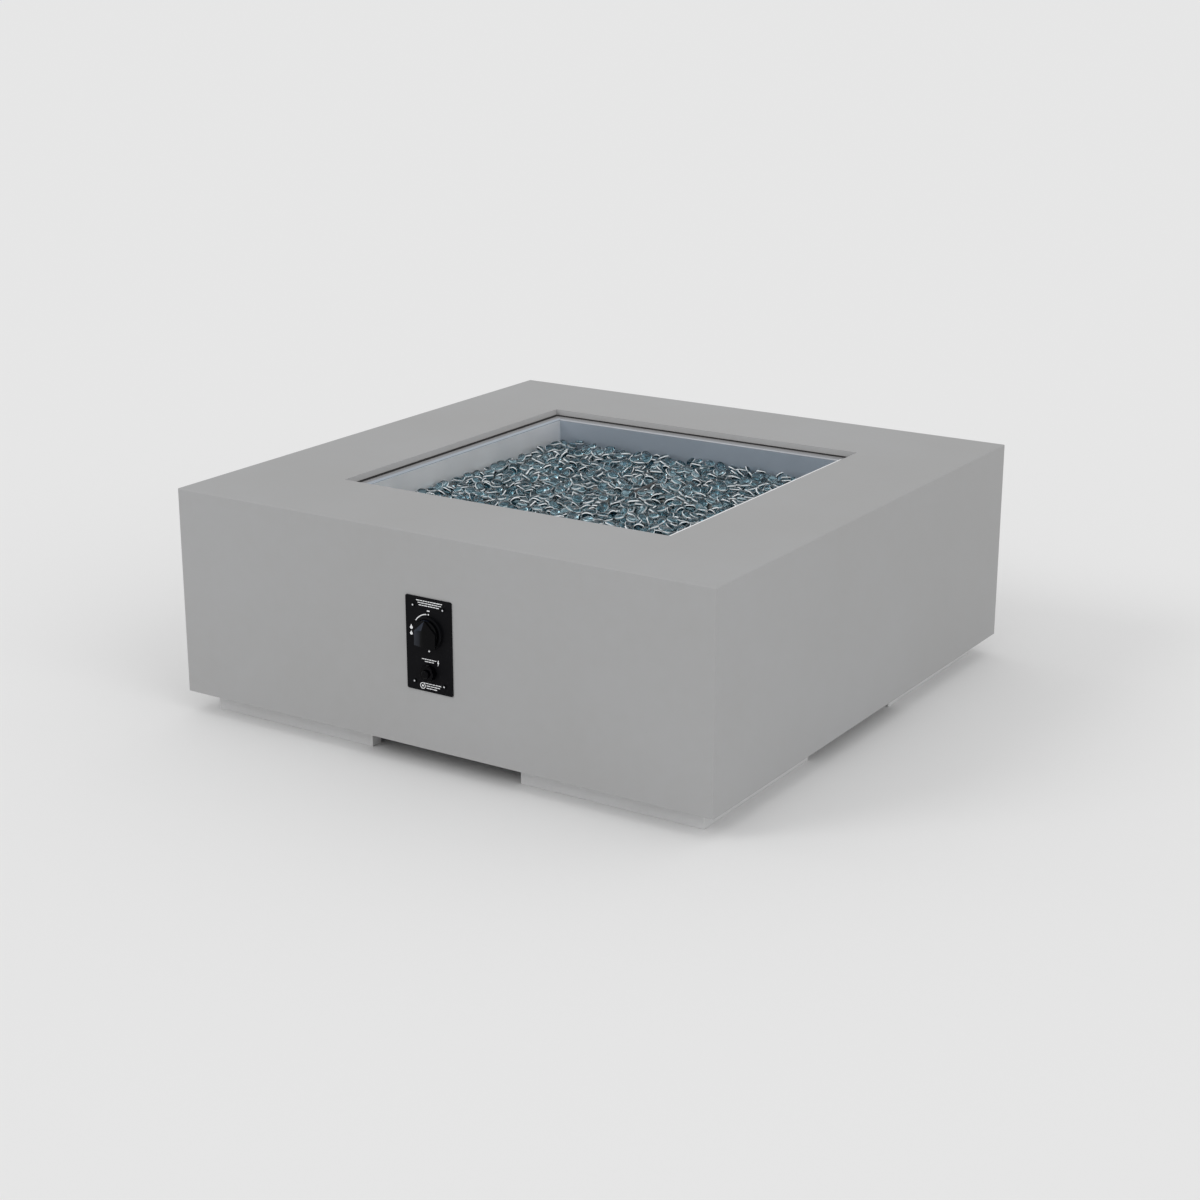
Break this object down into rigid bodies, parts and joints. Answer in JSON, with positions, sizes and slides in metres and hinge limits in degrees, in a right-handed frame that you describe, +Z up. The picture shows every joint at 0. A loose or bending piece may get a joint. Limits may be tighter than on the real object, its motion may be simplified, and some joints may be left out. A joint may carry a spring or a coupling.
{
  "type": "gas fire table",
  "caption": "Low square concrete gas fire table on corner feet, with a drop-in steel pan, a burner under fire glass, and a front panel with a push-and-turn gas knob and an igniter button.",
  "frame": {"origin": "on the floor, at the middle of the whole footprint; the shell's own middle lies 11 mm behind it, because the knob stands 22 mm out of the front face", "axes": "+Z up, -Y out of the front face that holds the control panel, +X to the right seen from the front"},
  "size_m": [1.067, 1.089, 0.406],
  "materials": {
    "concrete": "smooth cast concrete, matt",
    "zinc": "zinc plated",
    "stainless": "bright sheet",
    "burner_steel": "heat tinted",
    "brass": "machined",
    "gasket": "fibre washer",
    "hose_steel": "corrugated stainless",
    "cast_valve": "die cast",
    "spring_steel": "drawn wire",
    "knob_plastic": "fine satin black",
    "panel_black": "satin black",
    "black_screw": "black oxide",
    "nylon": "moulded",
    "igniter_plastic": "moulded black",
    "battery_case": "plain can",
    "lead_sleeve": "silicone sleeve",
    "copper_lead": "drawn copper tube",
    "ceramic": "unglazed white",
    "fire_glass": "clear blue-green glass"
  },
  "bodies": {
    "root": {"body_shell": "concrete", "foot_front_left": "concrete", "foot_front_right": "concrete", "foot_back_left": "concrete", "foot_back_right": "concrete", "foot_screws": "zinc", "fire_pan": "stainless", "burner": "burner_steel", "burner_nipple": "brass", "pan_gasket": "gasket", "pan_nut": "brass", "air_mixer": "zinc", "gas_orifice": "brass", "burner_hose": "hose_steel", "hose_nuts": "brass", "outlet_elbow": "brass", "inlet_elbow": "brass", "gas_valve": "cast_valve", "valve_screws": "zinc", "stem_spring": "spring_steel", "knob_bezel": "knob_plastic", "control_panel": "panel_black", "panel_screws": "black_screw", "wall_plugs": "nylon", "igniter_barrel": "igniter_plastic", "igniter_ring": "igniter_plastic", "igniter_spring": "spring_steel", "igniter_battery": "battery_case", "igniter_lead": "lead_sleeve", "thermocouple": "brass", "thermocouple_lead": "copper_lead", "electrode_insulator": "ceramic", "electrode_rod": "spring_steel", "pilot_bracket": "stainless", "bracket_screws": "zinc", "spark_guard": "burner_steel", "glass_bed": "fire_glass", "glass_gems": "fire_glass"},
    "stem_carrier": {"spring_cup": "zinc"},
    "knob": {"control_knob": "knob_plastic", "valve_stem": "stainless"},
    "button": {"igniter_button": "igniter_plastic"}
  },
  "joints": [
    {"name": "knob_push", "type": "slide", "parent": "root", "child": "stem_carrier", "axis": [0, 1, 0], "range_m": [0, 0.003], "stiffness_N_per_m": 1200, "springref_m": -0.004, "deforming": ["stem_spring"]},
    {"name": "knob_turn", "type": "hinge", "parent": "stem_carrier", "child": "knob", "pos_m": [0.002, -0.5225, 0.2415], "axis": [0, -1, 0], "range_deg": [0, 180]},
    {"name": "button_push", "type": "slide", "parent": "root", "child": "button", "axis": [0, 1, 0], "range_m": [0, 0.004], "stiffness_N_per_m": 700, "springref_m": -0.004, "deforming": ["igniter_spring"]}
  ]
}
